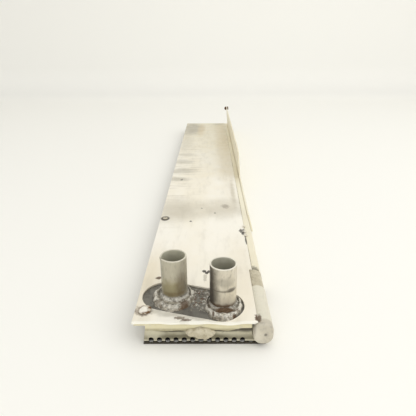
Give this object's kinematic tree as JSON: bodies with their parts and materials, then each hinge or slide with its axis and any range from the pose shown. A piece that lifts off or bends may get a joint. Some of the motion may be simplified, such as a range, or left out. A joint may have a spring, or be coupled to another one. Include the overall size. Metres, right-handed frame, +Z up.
{
  "type": "gas burner assembly",
  "caption": "Long slim gas burner of welded stainless sheet, perforated flame side below, inlet pipes, a side tube and a tall side plate on its back.",
  "frame": {"origin": "middle of the footprint, on the face the burner rests on", "axes": "+Z up from the flame side to the inlet pipes; +Y from the pipe end to the far end; +X towards the side tube and tall side plate"},
  "size_m": [0.109, 0.78, 0.0634],
  "materials": {
    "plate_steel": "heat-tinted stainless sheet, dull",
    "side_plate_steel": "heat-tinted stainless sheet, dull",
    "dark_scaled_steel": "scaled dark grey",
    "front_steel": "dull beige heat scale",
    "port_steel": "heat scaled, perforated",
    "pipe_steel": "drawn tube, stained",
    "weld_metal": "lumpy weld bead",
    "inner_steel": "plain sheet",
    "rusty_steel": "rusty"
  },
  "bodies": {
    "root": {"back_sheet": "dark_scaled_steel", "baffle_support_left_1": "inner_steel", "baffle_support_left_2": "inner_steel", "baffle_support_left_3": "inner_steel", "baffle_support_right_1": "inner_steel", "baffle_support_right_2": "inner_steel", "baffle_support_right_3": "inner_steel", "chamber_divider": "inner_steel", "corner_tack_weld": "weld_metal", "diffuser_screen": "inner_steel", "distribution_baffle_left": "inner_steel", "distribution_baffle_right": "inner_steel", "front_end_plate": "front_steel", "front_weld_lump": "weld_metal", "inlet_pipe_left": "pipe_steel", "inlet_pipe_right": "pipe_steel", "inlet_weld_left": "weld_metal", "inlet_weld_right": "weld_metal", "left_side_wall": "front_steel", "plate_rivet": "rusty_steel", "port_plate": "port_steel", "rear_end_plate": "front_steel", "right_side_wall": "front_steel", "seam_tack_weld_1": "weld_metal", "seam_tack_weld_2": "weld_metal", "seam_tack_weld_3": "weld_metal", "side_plate_bolt": "rusty_steel", "side_plate_nut": "rusty_steel", "side_rail": "plate_steel", "side_tube": "front_steel", "side_tube_cap": "front_steel", "side_tube_weld": "weld_metal", "tall_side_plate": "side_plate_steel", "top_plate": "plate_steel"}
  },
  "joints": []
}
